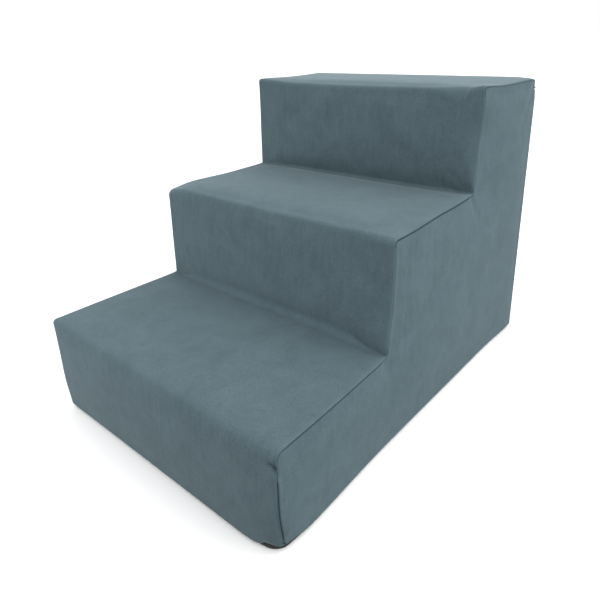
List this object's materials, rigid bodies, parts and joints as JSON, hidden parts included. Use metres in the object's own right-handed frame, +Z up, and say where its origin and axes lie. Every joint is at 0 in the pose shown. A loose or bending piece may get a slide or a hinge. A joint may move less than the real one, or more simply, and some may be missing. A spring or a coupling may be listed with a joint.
{
  "type": "foam pet stairs",
  "caption": "Stepped foam pet stairs for climbing to a sofa or bed: a glued foam core in a zipped suede cover with an anti-slip base.",
  "frame": {"origin": "on the floor, under the middle of the whole object's box", "axes": "+X across the steps, to the right of someone climbing them; +Y from the lowest step to the back; +Z up"},
  "size_m": [0.3846, 0.5676, 0.3882],
  "materials": {
    "foam": "matte",
    "suede": "matte",
    "anti_slip_fabric": "matte",
    "zip_tape": "matte",
    "zip_coil": "satin",
    "zip_metal": "satin"
  },
  "bodies": {
    "stairs": {"foam_lower_slab": "foam", "foam_middle_slab": "foam", "foam_upper_slab": "foam", "step_panel": "suede", "right_side_panel": "suede", "left_side_panel": "suede", "back_panel": "suede", "back_hem_strip": "suede", "base_panel": "anti_slip_fabric", "zip_tape_outer": "zip_tape", "zip_tape_inner": "zip_tape", "zip_coil_outer": "zip_coil", "zip_coil_inner": "zip_coil", "zip_top_stop_outer": "zip_metal", "zip_top_stop_inner": "zip_metal", "zip_bottom_stop": "zip_metal"},
    "slider": {"zip_slider": "zip_metal"},
    "pull": {"zip_pull_tab": "zip_metal"}
  },
  "joints": [
    {"name": "zip_slide", "type": "slide", "parent": "stairs", "child": "slider", "axis": [0, 0, -1], "range_m": [0, 0.31]},
    {"name": "pull_swing", "type": "hinge", "parent": "slider", "child": "pull", "pos_m": [0.1673, 0.2816, 0.3602], "axis": [1, 0, 0], "range_deg": [0, 125]}
  ]
}
